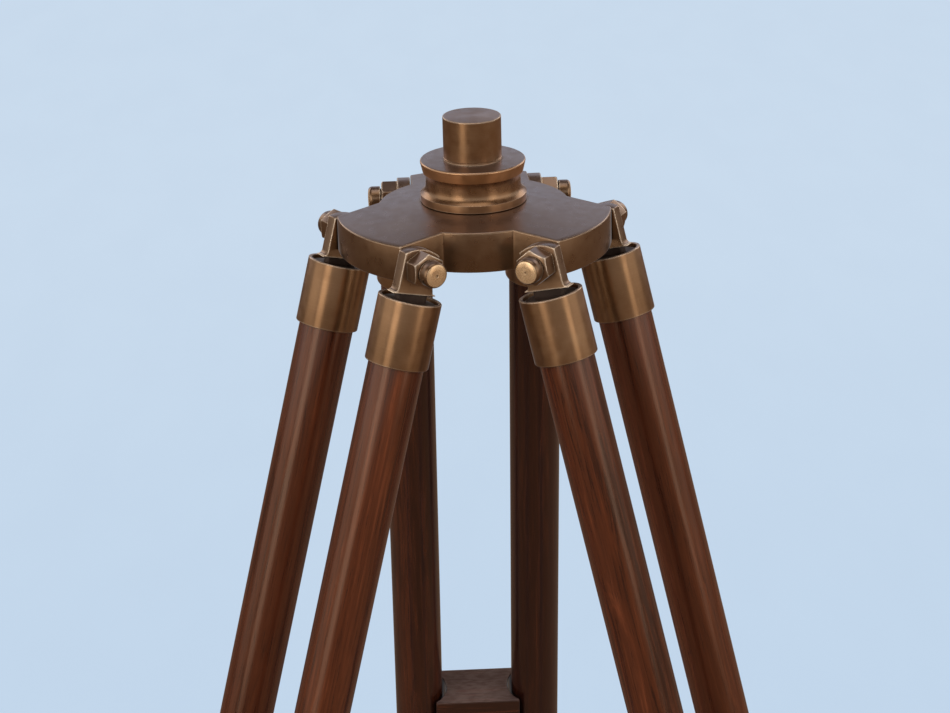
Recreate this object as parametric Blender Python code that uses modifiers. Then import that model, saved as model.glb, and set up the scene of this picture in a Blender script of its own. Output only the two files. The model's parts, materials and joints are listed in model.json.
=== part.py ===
"""Floor-standing tripod stand for a brass telescope: a three-lobed brass head with a turned
collar and spigot, and three folding legs, each made of twin round wooden poles and a sliding
lower pole. Units are metres, +Z is up, and the origin is the centre of the spigot's top face."""

import math

import bmesh
import bpy
from mathutils import Matrix

MM = 0.001
GAP = 0.3 * MM
CHAMFER = 0.6 * MM

# Round stretches: how many sides a full turn has.
HEAD_SIDES = 64
COLLAR_SIDES = 32
POLE_SIDES = 20
SMALL_SIDES = 12

# Head: three lobes, a shallow conical top and a flat underside.
SPIGOT_HEIGHT = 20.2 * MM
COLLAR_HEIGHT = 19.0 * MM
BOSS_STEP = 0.4 * MM
HEAD_SLOPE = 0.122
HEAD_DEPTH = 18.8 * MM
LOBE_RADIUS = 63.7 * MM
NOTCH_RADIUS = 44.6 * MM
LOBE_HALF_WIDTH = 28.2 * MM
BOSS_RADIUS = 23.4 * MM
SPIGOT_RADIUS = 13.5 * MM
FOOT_RING_RADIUS = 13.9 * MM
FOOT_RING_HEIGHT = 1.2 * MM
SHANK_RADIUS = 8.0 * MM
SHANK_TAIL = 1.5 * MM
COLLAR_RADIUS = 24.6 * MM
SEAT_RADIUS = 15.0 * MM
SEAT_RECESS = 0.5 * MM
FLANGE_THICKNESS = 5.4 * MM
FLANGE_TAPER = 1.2 * MM
WAIST_RADIUS = 22.4 * MM
WAIST_FLARE = 2.5
RING_HEIGHT = 4.2 * MM
WASHER_RADIUS = 15.0 * MM
WASHER_THICKNESS = 2.0 * MM
SHANK_NUT_FLATS = 24.0 * MM
SHANK_NUT_THICKNESS = 6.0 * MM

# Leg pivots: one rod through each lobe, a cap nut on either end.
PIVOT_RADIUS = 50.8 * MM
PIVOT_DROP = 11.7 * MM
ROD_RADIUS = 4.0 * MM
NUT_FLATS = 14.4 * MM
NUT_THICKNESS = 7.7 * MM
DOME_RADIUS = 5.8 * MM
DOME_LENGTH = 6.3 * MM
DOME_CROWN = 0.4 * MM
DOME_SHOULDER = 1.8 * MM
GROOVE = 0.6 * MM
NUT_BORE_DEPTH = 9.0 * MM

# Leg: sizes along the leg run down from the pivot.
POLE_RADIUS = 12.7 * MM
POLE_OFFSET = 31.6 * MM
EAR_THICKNESS = 6.2 * MM
EAR_HALF_WIDTH = 9.0 * MM
EAR_FOOT_HALF_WIDTH = 11.2 * MM
EAR_APEX = 8.5 * MM
EAR_CORNER = 6.0 * MM
EAR_FOOT = 12.6 * MM
FOOT_LIP = 0.5 * MM
NECK_HALF_WIDTH = 8.0 * MM
NECK_THICKNESS = 4.6 * MM
PLUG_TOP = 16.2 * MM
POLE_TOP = 26.3 * MM
STUD_RADIUS = 4.0 * MM
STUD_LENGTH = 18.0 * MM
FERRULE_RADIUS = 14.6 * MM
FERRULE_TOP = 14.6 * MM
FERRULE_BOTTOM = 45.2 * MM
CARRIAGE_TOP = 313.3 * MM
CARRIAGE_HEIGHT = 38.0 * MM
CARRIAGE_DEPTH = 28.0 * MM
CARRIAGE_HALF_WIDTH = 22.7 * MM
CARRIAGE_CLEARANCE = 2.2 * MM
TENON_RADIUS = 9.0 * MM
TENON_LENGTH = 25.0 * MM
CLAMP_TOP = 640.0 * MM
CLAMP_HEIGHT = 46.0 * MM
CLAMP_END_RADIUS = 18.4 * MM
SOCKET_DEPTH = 34.0 * MM
BUSH_RADIUS = 7.0 * MM
BUSH_FLANGE_RADIUS = 9.5 * MM
BUSH_FLANGE_THICKNESS = 2.0 * MM
SCREW_RADIUS = 3.0 * MM
KNOB_RADIUS = 11.0 * MM
KNOB_THICKNESS = 7.0 * MM
KNOB_EDGE = 1.0 * MM
KNOB_NECK_RADIUS = 5.5 * MM
KNOB_NECK_LENGTH = 3.0 * MM
KNOB_STANDOFF = 1.2 * MM
SHOE_RADIUS = 14.6 * MM
SHOE_SLEEVE = 36.0 * MM
SHOE_TAPER = 20.0 * MM
FOOT_RADIUS = 6.0 * MM
FOOT_REACH = 515.0 * MM

# Each leg: the heading of its lobe about +Z, and how far it leans out from the vertical.
LEGS = {
    "rear": (math.radians(90.0), math.radians(14.0)),
    "left": (math.radians(210.0), math.radians(15.9)),
    "right": (math.radians(330.0), math.radians(14.4)),
}

BORE_RADIUS = POLE_RADIUS + GAP
ROD_HOLE_RADIUS = ROD_RADIUS + GAP
BOSS_TOP_Z = -SPIGOT_HEIGHT - COLLAR_HEIGHT - GAP
HEAD_REFERENCE_Z = BOSS_TOP_Z - BOSS_STEP - HEAD_SLOPE * (NOTCH_RADIUS - BOSS_RADIUS)
HEAD_BOTTOM_Z = HEAD_REFERENCE_Z - HEAD_DEPTH
PIVOT_Z = HEAD_REFERENCE_Z - PIVOT_DROP
SHOE_TOP = FOOT_REACH - SHOE_SLEEVE - SHOE_TAPER - FOOT_RADIUS
BUSH_INNER_END = BORE_RADIUS + MM

# The rear leg sets the height of the pivots; the other legs slide out to reach the floor.
PIVOT_HEIGHT = (CARRIAGE_TOP + FOOT_REACH - FOOT_RADIUS) * math.cos(LEGS["rear"][1]) + FOOT_RADIUS

PARTS_COLLECTION = "tripod_stand"


def cone_z(radius):
    """Height of the head's conical top at a radius."""
    return HEAD_REFERENCE_Z + HEAD_SLOPE * (NOTCH_RADIUS - radius)


def slide_out(lean):
    """How far a leg's lower pole is drawn out so that its foot touches the floor."""
    return (PIVOT_HEIGHT - FOOT_RADIUS) / math.cos(lean) - (CARRIAGE_TOP + FOOT_REACH - FOOT_RADIUS)


def clear_scene():
    for obj in list(bpy.data.objects):
        bpy.data.objects.remove(obj, do_unlink=True)


def make_material(name, colour, roughness, metallic):
    material = bpy.data.materials.new(name)
    material.use_nodes = True
    shader = material.node_tree.nodes["Principled BSDF"]
    shader.inputs["Base Color"].default_value = (*colour, 1.0)
    shader.inputs["Roughness"].default_value = roughness
    shader.inputs["Metallic"].default_value = metallic
    return material


def evaluated_mesh(obj):
    """The mesh that an object's modifiers or curve settings give; the object is then removed."""
    bpy.context.view_layer.update()
    graph = bpy.context.evaluated_depsgraph_get()
    mesh = bpy.data.meshes.new_from_object(obj.evaluated_get(graph), depsgraph=graph)
    bpy.data.objects.remove(obj, do_unlink=True)
    return mesh


def helper_object(name, data):
    obj = bpy.data.objects.new(name, data)
    bpy.context.scene.collection.objects.link(obj)
    return obj


def turned(profile, sides, ring=False):
    """A solid turned about Z from (radius, height) points that run down its outer side."""
    form = bmesh.new()
    points = [form.verts.new((radius, 0.0, height)) for radius, height in profile]
    for start, end in zip(points, points[1:]):
        form.edges.new((start, end))
    if ring:
        form.edges.new((points[-1], points[0]))
    mesh = bpy.data.meshes.new("turned_profile")
    form.to_mesh(mesh)
    form.free()
    obj = helper_object("turning", mesh)
    screw = obj.modifiers.new("turn", "SCREW")
    screw.steps = sides
    screw.render_steps = sides
    screw.use_merge_vertices = True
    screw.merge_threshold = 0.00001
    return evaluated_mesh(obj)


def cylinder(radius, bottom, top, sides):
    """A cylinder along Z between two heights."""
    form = bmesh.new()
    bmesh.ops.create_cone(
        form,
        cap_ends=True,
        segments=sides,
        radius1=radius,
        radius2=radius,
        depth=top - bottom,
        matrix=Matrix.Translation((0.0, 0.0, (top + bottom) / 2)),
    )
    mesh = bpy.data.meshes.new("cylinder")
    form.to_mesh(mesh)
    form.free()
    return mesh


def box(size_x, size_y, bottom, top):
    """A box centred on Z between two heights."""
    form = bmesh.new()
    place = Matrix.Translation((0.0, 0.0, (top + bottom) / 2))
    stretch = Matrix.Diagonal((size_x, size_y, top - bottom, 1.0))
    bmesh.ops.create_cube(form, size=1.0, matrix=place @ stretch)
    mesh = bpy.data.meshes.new("box")
    form.to_mesh(mesh)
    form.free()
    return mesh


def plate(outline, bottom, top):
    """A flat outline in the XY plane, given thickness between two heights."""
    curve = bpy.data.curves.new("outline", "CURVE")
    curve.dimensions = "2D"
    curve.fill_mode = "BOTH"
    curve.extrude = (top - bottom) / 2
    spline = curve.splines.new("POLY")
    spline.points.add(len(outline) - 1)
    for point, (x, y) in zip(spline.points, outline):
        point.co = (x, y, 0.0, 1.0)
    spline.use_cyclic_u = True
    mesh = evaluated_mesh(helper_object("plate", curve))
    form = bmesh.new()
    form.from_mesh(mesh)
    bmesh.ops.remove_doubles(form, verts=form.verts, dist=0.000001)
    bmesh.ops.translate(form, verts=form.verts, vec=(0.0, 0.0, (top + bottom) / 2))
    bmesh.ops.recalc_face_normals(form, faces=form.faces)
    form.to_mesh(mesh)
    form.free()
    return mesh


def moved(mesh, matrix):
    mesh.transform(matrix)
    return mesh


def boolean(mesh, other, operation):
    """The union or the difference of two meshes."""
    cutters = bpy.data.collections.new("cutters")
    bpy.context.scene.collection.children.link(cutters)
    cutter = bpy.data.objects.new("cutter", other)
    cutter.hide_render = True
    cutter.display_type = "WIRE"
    cutters.objects.link(cutter)
    obj = helper_object("worked_piece", mesh)
    modifier = obj.modifiers.new("boolean", "BOOLEAN")
    modifier.operation = operation
    modifier.solver = "EXACT"
    modifier.object = cutter
    result = evaluated_mesh(obj)
    bpy.data.objects.remove(cutter, do_unlink=True)
    bpy.data.collections.remove(cutters)
    return result


def cut(mesh, *others):
    for other in others:
        mesh = boolean(mesh, other, "DIFFERENCE")
    return mesh


def join(mesh, *others):
    for other in others:
        mesh = boolean(mesh, other, "UNION")
    return mesh


def arc(centre_x, centre_y, radius, start, end, steps):
    """Points along an arc, both ends included."""
    points = []
    for step in range(steps + 1):
        angle = start + (end - start) * step / steps
        points.append((centre_x + radius * math.cos(angle), centre_y + radius * math.sin(angle)))
    return points


def turn_about(axis, degrees):
    return Matrix.Rotation(math.radians(degrees), 4, axis)


def notch_mesh():
    """Cutter for the recess between two lobes, centred on +X."""
    corner_angle = math.radians(60.0) - math.asin(LOBE_HALF_WIDTH / NOTCH_RADIUS)
    outline = arc(0.0, 0.0, NOTCH_RADIUS, -corner_angle, corner_angle, 8)
    reach = LOBE_RADIUS
    last_x, last_y = outline[-1]
    wall_x = math.cos(math.radians(60.0)) * reach
    wall_y = math.sin(math.radians(60.0)) * reach
    outline.append((last_x + wall_x, last_y + wall_y))
    outline.append((last_x + wall_x, -last_y - wall_y))
    return plate(outline, HEAD_BOTTOM_Z - MM, BOSS_TOP_Z + MM)


def head_plate_mesh():
    profile = [
        (0.0, BOSS_TOP_Z),
        (BOSS_RADIUS, BOSS_TOP_Z),
        (BOSS_RADIUS, cone_z(BOSS_RADIUS)),
        (LOBE_RADIUS, cone_z(LOBE_RADIUS)),
        (LOBE_RADIUS, HEAD_BOTTOM_Z),
        (0.0, HEAD_BOTTOM_Z),
    ]
    head = turned(profile, HEAD_SIDES)
    for heading, _ in LEGS.values():
        notch_turn = Matrix.Rotation(heading + math.radians(60.0), 4, "Z")
        head = cut(head, moved(notch_mesh(), notch_turn))
        rod_hole = cylinder(ROD_HOLE_RADIUS, -LOBE_HALF_WIDTH - MM, LOBE_HALF_WIDTH + MM, SMALL_SIDES)
        lie_down = turn_about("X", 90.0)
        place = Matrix.Translation((PIVOT_RADIUS, 0.0, PIVOT_Z))
        head = cut(head, moved(rod_hole, Matrix.Rotation(heading, 4, "Z") @ place @ lie_down))
    shank_hole = cylinder(SHANK_RADIUS + GAP, HEAD_BOTTOM_Z - MM, BOSS_TOP_Z + MM, POLE_SIDES)
    return cut(head, shank_hole)


def collar_mesh():
    """Turned collar: a flange, a hollow waist and a lower ring, with a bore for the shank.
    The spigot's foot stands in a shallow recess, so that the flat seat round it is clear."""
    top = -SPIGOT_HEIGHT - GAP
    bottom = -SPIGOT_HEIGHT - COLLAR_HEIGHT
    flange_under = top - FLANGE_THICKNESS
    ring_top = bottom + RING_HEIGHT
    lip_radius = COLLAR_RADIUS - CHAMFER
    floor = top - SEAT_RECESS
    profile = [(SEAT_RADIUS, floor), (SEAT_RADIUS, top), (lip_radius, top)]
    profile.append((COLLAR_RADIUS, top - CHAMFER))
    profile.append((COLLAR_RADIUS - FLANGE_TAPER, flange_under))
    steps = 5
    for step in range(steps + 1):
        share = step / steps
        radius = WAIST_RADIUS + (lip_radius - WAIST_RADIUS) * share**WAIST_FLARE
        profile.append((radius, flange_under + (ring_top - flange_under) * share))
    profile.append((COLLAR_RADIUS, ring_top - CHAMFER))
    profile.append((COLLAR_RADIUS, bottom + CHAMFER))
    profile.append((lip_radius, bottom))
    profile.append((SHANK_RADIUS + GAP, bottom))
    profile.append((SHANK_RADIUS + GAP, floor))
    return turned(profile, COLLAR_SIDES, ring=True)


def spigot_mesh():
    """The post that carries the telescope, with a thinner shank down through the head."""
    shoulder = -SPIGOT_HEIGHT - SEAT_RECESS
    ring_top = shoulder + FOOT_RING_HEIGHT
    shank_end = HEAD_BOTTOM_Z - WASHER_THICKNESS - SHANK_NUT_THICKNESS - 2 * GAP - SHANK_TAIL
    profile = [
        (0.0, 0.0),
        (SPIGOT_RADIUS - CHAMFER, 0.0),
        (SPIGOT_RADIUS, -CHAMFER),
        (SPIGOT_RADIUS, ring_top + GAP),
        (FOOT_RING_RADIUS, ring_top),
        (FOOT_RING_RADIUS, shoulder),
        (SHANK_RADIUS, shoulder),
        (SHANK_RADIUS, shank_end + CHAMFER),
        (SHANK_RADIUS - CHAMFER, shank_end),
        (0.0, shank_end),
    ]
    return turned(profile, COLLAR_SIDES)


def washer_mesh():
    top = HEAD_BOTTOM_Z - GAP
    profile = [
        (WASHER_RADIUS, top),
        (WASHER_RADIUS, top - WASHER_THICKNESS),
        (SHANK_RADIUS + GAP, top - WASHER_THICKNESS),
        (SHANK_RADIUS + GAP, top),
    ]
    return turned(profile, POLE_SIDES, ring=True)


def hexagon(flats, bottom, top):
    """A hexagonal prism along Z."""
    return cylinder(flats / 2 / math.cos(math.radians(30.0)), bottom, top, 6)


def shank_nut_mesh():
    top = HEAD_BOTTOM_Z - WASHER_THICKNESS - 2 * GAP
    nut = hexagon(SHANK_NUT_FLATS, top - SHANK_NUT_THICKNESS, top)
    bore = cylinder(SHANK_RADIUS + GAP, top - SHANK_NUT_THICKNESS - MM, top + MM, POLE_SIDES)
    return cut(nut, bore)


def rod_mesh():
    """Pivot rod along Y, long enough to reach into both cap nuts."""
    half = POLE_OFFSET + EAR_THICKNESS / 2 + GAP + NUT_BORE_DEPTH - MM
    rod = cylinder(ROD_RADIUS, -half, half, SMALL_SIDES)
    return moved(rod, turn_about("X", 90.0))


def cap_nut_mesh():
    """Cap nut along +Z: a hexagon, a thin groove and a low dome, with a blind bore below."""
    dome_top = NUT_THICKNESS + DOME_LENGTH
    inside = NUT_THICKNESS / 2
    profile = [
        (0.0, dome_top),
        (DOME_RADIUS - DOME_SHOULDER, dome_top - DOME_CROWN),
        (DOME_RADIUS, dome_top - DOME_SHOULDER),
        (DOME_RADIUS, NUT_THICKNESS + GROOVE),
        (DOME_RADIUS - GROOVE, NUT_THICKNESS + GROOVE),
        (DOME_RADIUS - GROOVE, inside),
        (0.0, inside),
    ]
    nut = join(hexagon(NUT_FLATS, 0.0, NUT_THICKNESS), turned(profile, POLE_SIDES))
    return cut(nut, cylinder(ROD_HOLE_RADIUS, -MM, NUT_BORE_DEPTH, SMALL_SIDES))


def ear_outline():
    """The lug's ear seen along the pivot: flared foot, straight sides and a shallow arched top."""
    rise = EAR_APEX - EAR_CORNER
    arch_radius = (EAR_HALF_WIDTH**2 + rise**2) / (2 * rise)
    half_angle = math.asin(EAR_HALF_WIDTH / arch_radius)
    quarter = math.pi / 2
    outline = []
    flare = EAR_FOOT_HALF_WIDTH - EAR_HALF_WIDTH
    foot = [(EAR_FOOT_HALF_WIDTH, -EAR_FOOT)]
    foot += arc(EAR_FOOT_HALF_WIDTH, -EAR_FOOT + FOOT_LIP + flare, flare, 3 * quarter, 2 * quarter, 2)
    outline += foot
    arch_centre = EAR_APEX - arch_radius
    outline += arc(0.0, arch_centre, arch_radius, quarter - half_angle, quarter + half_angle, 4)
    outline += [(-x, y) for x, y in reversed(foot)]
    return outline


def lug_mesh():
    """Lug on a pole's axis, pivot at the origin: an ear and its neck, a plug and a stud."""
    ear = plate(ear_outline(), -EAR_THICKNESS / 2, EAR_THICKNESS / 2)
    ear = moved(ear, turn_about("X", 90.0))
    neck = box(2 * NECK_HALF_WIDTH, NECK_THICKNESS, -PLUG_TOP - MM, -EAR_FOOT + MM)
    plug = cylinder(POLE_RADIUS, -POLE_TOP + GAP, -PLUG_TOP, POLE_SIDES)
    stud = cylinder(STUD_RADIUS, -POLE_TOP - STUD_LENGTH, -POLE_TOP + MM, SMALL_SIDES)
    pivot_hole = cylinder(ROD_HOLE_RADIUS, -EAR_THICKNESS, EAR_THICKNESS, SMALL_SIDES)
    return cut(join(ear, neck, plug, stud), moved(pivot_hole, turn_about("X", 90.0)))


def ferrule_mesh():
    profile = [
        (FERRULE_RADIUS, -FERRULE_TOP),
        (FERRULE_RADIUS, -FERRULE_BOTTOM),
        (BORE_RADIUS, -FERRULE_BOTTOM),
        (BORE_RADIUS, -FERRULE_TOP),
    ]
    return turned(profile, POLE_SIDES, ring=True)


def upper_pole_mesh():
    bottom = -CLAMP_TOP - SOCKET_DEPTH + GAP
    pole = cylinder(POLE_RADIUS, bottom, -POLE_TOP, POLE_SIDES)
    bore = cylinder(STUD_RADIUS + GAP, -POLE_TOP - STUD_LENGTH - MM, -POLE_TOP + MM, SMALL_SIDES)
    return cut(pole, bore)


def carriage_block_mesh():
    """Sliding block with its top at the origin; hollow ends ride on the twin poles."""
    block = box(CARRIAGE_DEPTH, 2 * CARRIAGE_HALF_WIDTH, -CARRIAGE_HEIGHT, 0.0)
    for side in (-1, 1):
        groove = cylinder(POLE_RADIUS + CARRIAGE_CLEARANCE, -CARRIAGE_HEIGHT - MM, MM, POLE_SIDES)
        block = cut(block, moved(groove, Matrix.Translation((0.0, side * POLE_OFFSET, 0.0))))
    mortise_top = -CARRIAGE_HEIGHT + TENON_LENGTH + GAP
    mortise = cylinder(TENON_RADIUS + GAP, -CARRIAGE_HEIGHT - MM, mortise_top, POLE_SIDES)
    return cut(block, mortise)


def lower_pole_mesh():
    """Lower pole below the carriage block, with a tenon into the block."""
    shoulder = -CARRIAGE_HEIGHT - GAP
    end = -SHOE_TOP - SHOE_SLEEVE + GAP
    profile = [
        (0.0, shoulder + TENON_LENGTH),
        (TENON_RADIUS, shoulder + TENON_LENGTH),
        (TENON_RADIUS, shoulder),
        (POLE_RADIUS, shoulder),
        (POLE_RADIUS, end),
        (0.0, end),
    ]
    return turned(profile, POLE_SIDES)


def foot_shoe_mesh():
    """Brass shoe: a sleeve over the lower pole, a taper and a round-nosed tip."""
    socket_floor = -SHOE_TOP - SHOE_SLEEVE
    tip_centre = -FOOT_REACH + FOOT_RADIUS
    profile = [
        (0.0, socket_floor),
        (BORE_RADIUS, socket_floor),
        (BORE_RADIUS, -SHOE_TOP),
        (SHOE_RADIUS, -SHOE_TOP),
        (SHOE_RADIUS, socket_floor),
    ]
    for x, y in arc(0.0, tip_centre, FOOT_RADIUS, 0.0, -math.pi / 2, 3):
        profile.append((max(x, 0.0), y))
    return turned(profile, POLE_SIDES)


def clamp_block_mesh():
    """Lower block with its top at the origin: sockets for the twin poles, a way through for
    the lower pole, and a hole on the outer side for the screw's bush."""
    quarter = math.pi / 2
    outline = arc(0.0, POLE_OFFSET, CLAMP_END_RADIUS, 0.0, 2 * quarter, 6)
    outline += arc(0.0, -POLE_OFFSET, CLAMP_END_RADIUS, 2 * quarter, 4 * quarter, 6)
    block = plate(outline, -CLAMP_HEIGHT, 0.0)
    for side in (-1, 1):
        socket = cylinder(BORE_RADIUS, -SOCKET_DEPTH, MM, POLE_SIDES)
        block = cut(block, moved(socket, Matrix.Translation((0.0, side * POLE_OFFSET, 0.0))))
    way_through = cylinder(BORE_RADIUS, -CLAMP_HEIGHT - MM, MM, POLE_SIDES)
    bush_hole = cylinder(BUSH_RADIUS + GAP, 0.0, CLAMP_END_RADIUS + MM, SMALL_SIDES)
    place = Matrix.Translation((0.0, 0.0, -CLAMP_HEIGHT / 2))
    return cut(block, way_through, moved(bush_hole, place @ turn_about("Y", 90.0)))


def screw_bush_mesh():
    """Flanged bush along +Z, set in the clamp block; Z is measured from the lower pole's axis."""
    flange_top = CLAMP_END_RADIUS + GAP + BUSH_FLANGE_THICKNESS
    profile = [
        (BUSH_FLANGE_RADIUS - CHAMFER, flange_top),
        (BUSH_FLANGE_RADIUS, flange_top - CHAMFER),
        (BUSH_FLANGE_RADIUS, CLAMP_END_RADIUS + GAP),
        (BUSH_RADIUS, CLAMP_END_RADIUS + GAP),
        (BUSH_RADIUS, BUSH_INNER_END),
        (SCREW_RADIUS + GAP, BUSH_INNER_END),
        (SCREW_RADIUS + GAP, flange_top),
    ]
    return turned(profile, SMALL_SIDES, ring=True)


def thumb_screw_mesh():
    """Thumb screw along +Z: a round knob, a neck and the plain end that bears on the lower pole.
    Z is measured from the lower pole's axis."""
    neck_end = CLAMP_END_RADIUS + GAP + BUSH_FLANGE_THICKNESS + KNOB_STANDOFF
    knob_under = neck_end + KNOB_NECK_LENGTH + KNOB_EDGE
    knob_top = knob_under + KNOB_THICKNESS
    profile = [
        (0.0, knob_top + KNOB_EDGE / 2),
        (KNOB_RADIUS - KNOB_EDGE, knob_top),
        (KNOB_RADIUS, knob_top - KNOB_EDGE),
        (KNOB_RADIUS, knob_under + KNOB_EDGE),
        (KNOB_RADIUS - KNOB_EDGE, knob_under),
        (KNOB_NECK_RADIUS, knob_under - KNOB_EDGE),
        (KNOB_NECK_RADIUS, neck_end),
        (SCREW_RADIUS, neck_end),
        (SCREW_RADIUS, BORE_RADIUS),
        (0.0, BORE_RADIUS),
    ]
    return turned(profile, POLE_SIDES)


def place_part(collection, name, mesh, material, parent, location=(0, 0, 0), rotation=(0, 0, 0)):
    obj = bpy.data.objects.new(name, mesh)
    mesh.materials.clear()
    mesh.materials.append(material)
    mesh.shade_smooth()
    mesh.set_sharp_from_angle(angle=math.radians(32.0))
    obj.parent = parent
    obj.location = location
    obj.rotation_euler = rotation
    collection.objects.link(obj)
    return obj


def place_empty(collection, name, parent, location, rotation):
    empty = bpy.data.objects.new(name, None)
    empty.empty_display_size = 0.03
    empty.parent = parent
    empty.location = location
    empty.rotation_euler = rotation
    collection.objects.link(empty)
    return empty


def build_head(collection, brass):
    place_part(collection, "head_plate", head_plate_mesh(), brass, None)
    place_part(collection, "collar", collar_mesh(), brass, None)
    place_part(collection, "spigot", spigot_mesh(), brass, None)
    place_part(collection, "shank_washer", washer_mesh(), brass, None)
    place_part(collection, "shank_nut", shank_nut_mesh(), brass, None)


def build_pivot(collection, leg, heading, meshes, brass):
    """The rod through a lobe and its two cap nuts, which stay with the head."""
    location = (PIVOT_RADIUS * math.cos(heading), PIVOT_RADIUS * math.sin(heading), PIVOT_Z)
    lobe = place_empty(collection, f"{leg}_lobe_axis", None, location, (0.0, 0.0, heading))
    place_part(collection, f"{leg}_pivot_rod", meshes["rod"], brass, lobe)
    nut_seat = POLE_OFFSET + EAR_THICKNESS / 2 + GAP
    quarter = math.pi / 2
    for label, side in (("a", -1), ("b", 1)):
        seat = (0.0, side * nut_seat, 0.0)
        turn = (-side * quarter, 0.0, 0.0)
        place_part(collection, f"{leg}_cap_nut_{label}", meshes["cap_nut"], brass, lobe, seat, turn)
    return lobe


def build_leg(collection, leg, heading, lean, meshes, brass, wood):
    lobe = build_pivot(collection, leg, heading, meshes, brass)
    swing = place_empty(collection, f"{leg}_leg_axis", lobe, (0, 0, 0), (0.0, -lean, 0.0))
    for label, side in (("a", -1), ("b", 1)):
        seat = (0.0, side * POLE_OFFSET, 0.0)
        place_part(collection, f"{leg}_lug_{label}", meshes["lug"], brass, swing, seat)
        place_part(collection, f"{leg}_ferrule_{label}", meshes["ferrule"], brass, swing, seat)
        place_part(collection, f"{leg}_upper_pole_{label}", meshes["upper_pole"], wood, swing, seat)

    clamp_seat = (0.0, 0.0, -CLAMP_TOP)
    place_part(collection, f"{leg}_clamp_block", meshes["clamp_block"], wood, swing, clamp_seat)
    screw_seat = (0.0, 0.0, -CLAMP_TOP - CLAMP_HEIGHT / 2)
    outward = (0.0, math.pi / 2, 0.0)
    bush = meshes["screw_bush"]
    place_part(collection, f"{leg}_screw_bush", bush, brass, swing, screw_seat, outward)
    screw = meshes["thumb_screw"]
    place_part(collection, f"{leg}_thumb_screw", screw, brass, swing, screw_seat, outward)

    carriage_seat = (0.0, 0.0, -CARRIAGE_TOP - slide_out(lean))
    slide = place_empty(collection, f"{leg}_slide", swing, carriage_seat, (0, 0, 0))
    place_part(collection, f"{leg}_carriage_block", meshes["carriage_block"], wood, slide)
    place_part(collection, f"{leg}_lower_pole", meshes["lower_pole"], wood, slide)
    place_part(collection, f"{leg}_foot_shoe", meshes["foot_shoe"], brass, slide)


def main():
    clear_scene()
    collection = bpy.data.collections.new(PARTS_COLLECTION)
    bpy.context.scene.collection.children.link(collection)
    brass = make_material("antique_brass", (0.29, 0.19, 0.10), 0.36, 1.0)
    wood = make_material("stained_wood", (0.13, 0.045, 0.025), 0.34, 0.0)
    meshes = {
        "rod": rod_mesh(),
        "cap_nut": cap_nut_mesh(),
        "lug": lug_mesh(),
        "ferrule": ferrule_mesh(),
        "upper_pole": upper_pole_mesh(),
        "carriage_block": carriage_block_mesh(),
        "clamp_block": clamp_block_mesh(),
        "screw_bush": screw_bush_mesh(),
        "thumb_screw": thumb_screw_mesh(),
        "lower_pole": lower_pole_mesh(),
        "foot_shoe": foot_shoe_mesh(),
    }
    build_head(collection, brass)
    for leg, (heading, lean) in LEGS.items():
        build_leg(collection, leg, heading, lean, meshes, brass, wood)


main()
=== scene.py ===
"""Looks of the tripod stand: a fine mesh and a procedural material for each CAD node.

Each piece is made in its own local frame, with its axis along Z, and is placed by a matrix read
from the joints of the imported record. Units are metres and +Z is up.
"""

import json
import math

import bmesh
import bpy
from mathutils import Matrix, Vector


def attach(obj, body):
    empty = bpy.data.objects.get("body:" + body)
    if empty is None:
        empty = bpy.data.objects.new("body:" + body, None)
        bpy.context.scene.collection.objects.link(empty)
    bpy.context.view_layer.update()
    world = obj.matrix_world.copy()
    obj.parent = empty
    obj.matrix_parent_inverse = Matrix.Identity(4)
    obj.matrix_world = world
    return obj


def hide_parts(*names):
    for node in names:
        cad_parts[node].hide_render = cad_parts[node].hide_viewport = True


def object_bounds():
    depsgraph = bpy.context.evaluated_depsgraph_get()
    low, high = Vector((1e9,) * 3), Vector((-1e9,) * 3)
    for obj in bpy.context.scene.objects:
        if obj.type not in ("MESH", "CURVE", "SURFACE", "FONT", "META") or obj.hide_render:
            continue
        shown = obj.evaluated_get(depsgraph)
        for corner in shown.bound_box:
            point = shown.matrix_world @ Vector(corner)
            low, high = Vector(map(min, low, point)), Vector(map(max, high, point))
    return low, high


MM = 0.001
GAP = 0.3 * MM
SNUG = 0.05 * MM
QUARTER = math.pi / 2
SHARP_ANGLE = math.radians(38.0)

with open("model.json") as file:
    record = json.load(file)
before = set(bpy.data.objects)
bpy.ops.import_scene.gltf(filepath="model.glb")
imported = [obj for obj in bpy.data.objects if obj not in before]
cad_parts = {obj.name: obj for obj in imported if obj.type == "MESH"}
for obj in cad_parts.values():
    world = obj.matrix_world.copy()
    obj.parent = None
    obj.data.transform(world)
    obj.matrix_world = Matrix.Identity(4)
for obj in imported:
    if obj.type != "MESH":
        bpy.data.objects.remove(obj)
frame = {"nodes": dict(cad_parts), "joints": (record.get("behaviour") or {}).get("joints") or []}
CAD_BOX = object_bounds()
JOINTS = {joint["name"]: joint for joint in frame["joints"]}
LEGS = ("rear", "left", "right")
SIDES = (("a", -1), ("b", 1))

# Round stretches: how many steps a full turn has.
HEAD_STEPS = 160
POLE_STEPS = 72
SMALL_STEPS = 48

# Head details.
HEAD_EDGE = 0.7 * MM
HEAD_SLOPE = 0.122
LOBE_HALF_WIDTH = 28.2 * MM
NOTCH_RADIUS = 44.6 * MM
BOSS_RADIUS = 23.4 * MM
BOSS_RISE = 0.4 * MM
OUTLINE_STEP = 1.6 * MM
FLANGE_THICKNESS = 5.6 * MM
FLANGE_TAPER = 1.3 * MM
WAIST_DEPTH = 2.5 * MM
WAIST_FLARE = 4.4
WAIST_PLACE = 0.32
UNDERCUT = 0.9 * MM
RING_HEIGHT = 3.8 * MM
SPIGOT_RADIUS = 13.5 * MM
SHANK_RADIUS = 8.0 * MM
FOOT_RING_HEIGHT = 1.2 * MM
FOOT_GROOVE = 0.2 * MM

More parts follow.
